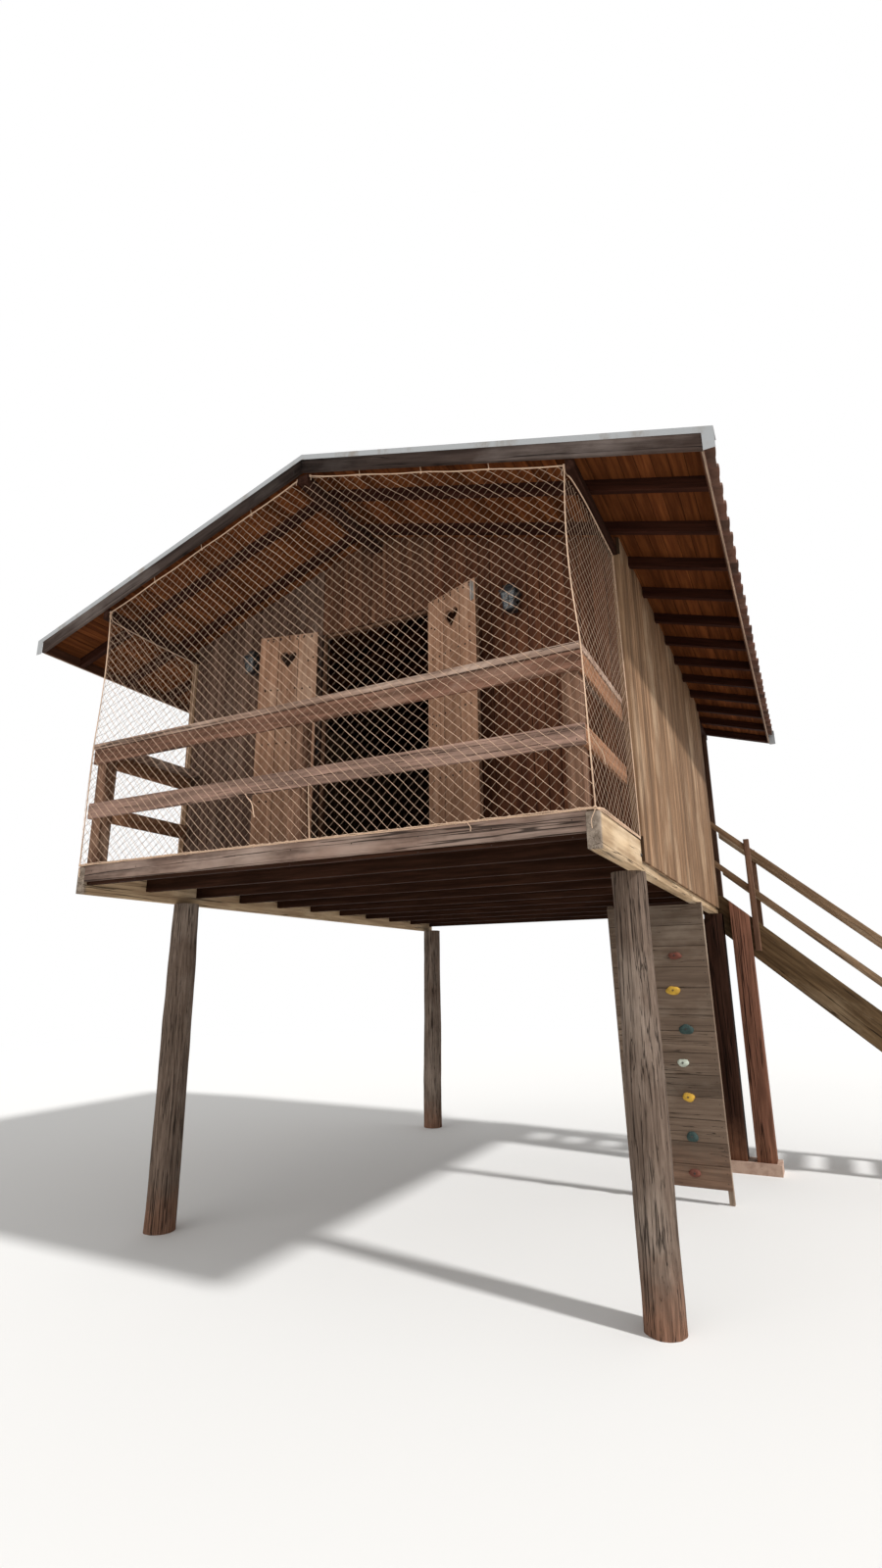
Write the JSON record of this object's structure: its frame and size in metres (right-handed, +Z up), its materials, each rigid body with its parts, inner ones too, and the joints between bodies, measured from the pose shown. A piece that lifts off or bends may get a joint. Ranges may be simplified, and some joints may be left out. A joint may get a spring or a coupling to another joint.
{
  "type": "raised timber garden cabin",
  "caption": "Raised timber cabin on log posts with a netted front balcony, double board doors, low tiled gable roof, climbing panel and side stair.",
  "frame": {"origin": "middle of the outline on the ground, under the posts' feet", "axes": "+X to the right along the front, +Y from the balcony to the rear porch, +Z up"},
  "size_m": [8.3538, 6.175, 5.985],
  "materials": {
    "log_wood": "weathered round timber",
    "post_wood": "weathered sawn timber",
    "footing_stone": "rough rendered masonry",
    "beam_wood": "weathered sawn timber",
    "board_wood": "weathered sawn timber",
    "joist_wood": "sawn timber",
    "deck_wood": "weathered planks",
    "cladding_wood": "stained tongued boards",
    "trim_wood": "stained planed timber",
    "frame_wood": "planed timber",
    "roof_timber": "dark stained timber",
    "lining_wood": "stained tongued boards",
    "barge_wood": "weathered boards",
    "roof_clay": "weathered clay tiles",
    "flashing_metal": "pale painted sheet",
    "rail_wood": "stained planed timber",
    "leaf_wood": "weathered planed boards",
    "hinge_steel": "dark worn metal",
    "bolt_steel": "worn steel",
    "lantern_metal": "black paint",
    "lantern_glass": "clear glass",
    "net_cord": "twisted synthetic cord",
    "panel_wood": "weathered planks",
    "hold_plastic": "moulded rough plastic",
    "stair_wood": "weathered planks"
  },
  "bodies": {
    "cabin": {"log_posts": "log_wood", "square_posts": "post_wood", "post_footing": "footing_stone", "side_beams": "beam_wood", "end_boards": "board_wood", "joists": "joist_wood", "deck_boards": "deck_wood", "front_wall_left": "cladding_wood", "front_wall_right": "cladding_wood", "front_wall_over": "cladding_wood", "back_wall": "cladding_wood", "left_wall": "cladding_wood", "right_wall": "cladding_wood", "corner_trims": "trim_wood", "corner_posts": "frame_wood", "door_frames": "frame_wood", "entry_door": "leaf_wood", "ridge_beam": "roof_timber", "wall_plates": "roof_timber", "rafters_left": "roof_timber", "rafters_right": "roof_timber", "roof_lining_left": "lining_wood", "roof_lining_right": "lining_wood", "eave_boards": "barge_wood", "barge_boards_front": "barge_wood", "barge_boards_rear": "barge_wood", "roof_tiles_left": "roof_clay", "roof_tiles_right": "roof_clay", "ridge_tiles": "roof_clay", "gable_flashings": "flashing_metal", "rail_posts_front": "rail_wood", "rails_front": "rail_wood", "rails_side": "rail_wood", "rail_caps": "rail_wood", "porch_posts": "roof_timber", "porch_rails": "rail_wood", "hinge_pins": "hinge_steel", "lantern_frames": "lantern_metal", "lantern_glass": "lantern_glass", "net_cords": "net_cord", "climbing_panel": "panel_wood", "panel_legs": "panel_wood", "climbing_holds": "hold_plastic", "stair_stringers": "stair_wood", "stair_treads": "stair_wood", "stair_newels": "stair_wood", "stair_rails": "rail_wood"},
    "left_leaf": {"door_leaf_left": "leaf_wood", "leaf_hinges_left": "hinge_steel"},
    "right_leaf": {"door_leaf_right": "leaf_wood", "leaf_hinges_right": "hinge_steel", "door_bolt": "bolt_steel"}
  },
  "joints": [
    {"name": "left_leaf_hinge", "type": "hinge", "parent": "cabin", "child": "left_leaf", "pos_m": [-1.80594, -1.9925, 3.9], "axis": [0, 0, 1], "range_deg": [-9, 166]},
    {"name": "right_leaf_hinge", "type": "hinge", "parent": "cabin", "child": "right_leaf", "pos_m": [-0.66994, -1.9925, 3.9], "axis": [0, 0, 1], "range_deg": [-159, 16]}
  ]
}
